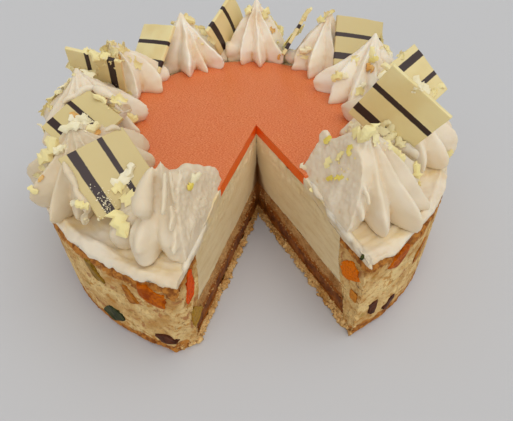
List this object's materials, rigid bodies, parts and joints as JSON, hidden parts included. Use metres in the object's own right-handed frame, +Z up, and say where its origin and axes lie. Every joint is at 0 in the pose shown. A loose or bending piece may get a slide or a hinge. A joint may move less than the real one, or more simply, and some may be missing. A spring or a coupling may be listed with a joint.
{
  "type": "biscuit cake",
  "caption": "Round layered cream cake: sponge wall set with candied fruit, orange jelly top, a ring of piped rosettes with striped chocolate squares, and a slice cut out.",
  "frame": {"origin": "centre of the round cake's underside, where it rests", "axes": "+Z up out of the top, the missing slice opens towards -Y, X to the right seen from the slice"},
  "size_m": [0.2655, 0.2542, 0.1328],
  "materials": {
    "sponge": "matte",
    "soaked_sponge": "matte",
    "brown_filling": "matte",
    "cream": "matte",
    "icing": "matte",
    "jelly": "glossy",
    "white_chocolate": "satin",
    "orange_fruit": "glossy",
    "red_fruit": "glossy",
    "amber_fruit": "glossy",
    "olive_fruit": "glossy",
    "green_fruit": "glossy",
    "raisin": "satin"
  },
  "bodies": {
    "root": {"sponge_wall": "sponge", "sponge_base": "sponge", "brown_filling": "brown_filling", "sponge_middle": "soaked_sponge", "cream_filling": "cream", "jelly_top": "jelly", "icing_border": "icing", "plate_ab": "white_chocolate", "plate_bc": "white_chocolate", "plate_cd": "white_chocolate", "plate_de": "white_chocolate", "plate_ef": "white_chocolate", "plate_fg": "white_chocolate", "plate_gh": "white_chocolate", "plate_hi": "white_chocolate", "plate_ij": "white_chocolate", "rosette_a": "icing", "rosette_b": "icing", "rosette_c": "icing", "rosette_d": "icing", "rosette_e": "icing", "rosette_f": "icing", "rosette_g": "icing", "rosette_h": "icing", "rosette_i": "icing", "rosette_j": "icing", "fruit_green_strip": "olive_fruit", "fruit_brown_strip": "amber_fruit", "fruit_orange_block": "orange_fruit", "fruit_dark_green": "green_fruit", "fruit_raisin_left": "raisin", "fruit_orange_rim": "orange_fruit", "fruit_raisin_low": "raisin", "fruit_raisin_side": "raisin", "fruit_pale_strip": "amber_fruit", "fruit_orange_cut": "orange_fruit", "fruit_amber_cut": "amber_fruit", "fruit_red_cut": "red_fruit", "fruit_olive_cut": "olive_fruit", "fruit_far_01": "orange_fruit", "fruit_far_02": "raisin", "fruit_far_03": "olive_fruit", "fruit_far_04": "red_fruit", "fruit_far_05": "amber_fruit", "fruit_far_06": "green_fruit", "fruit_far_07": "orange_fruit", "fruit_far_08": "raisin", "fruit_far_09": "olive_fruit", "fruit_far_10": "red_fruit"}
  },
  "joints": []
}
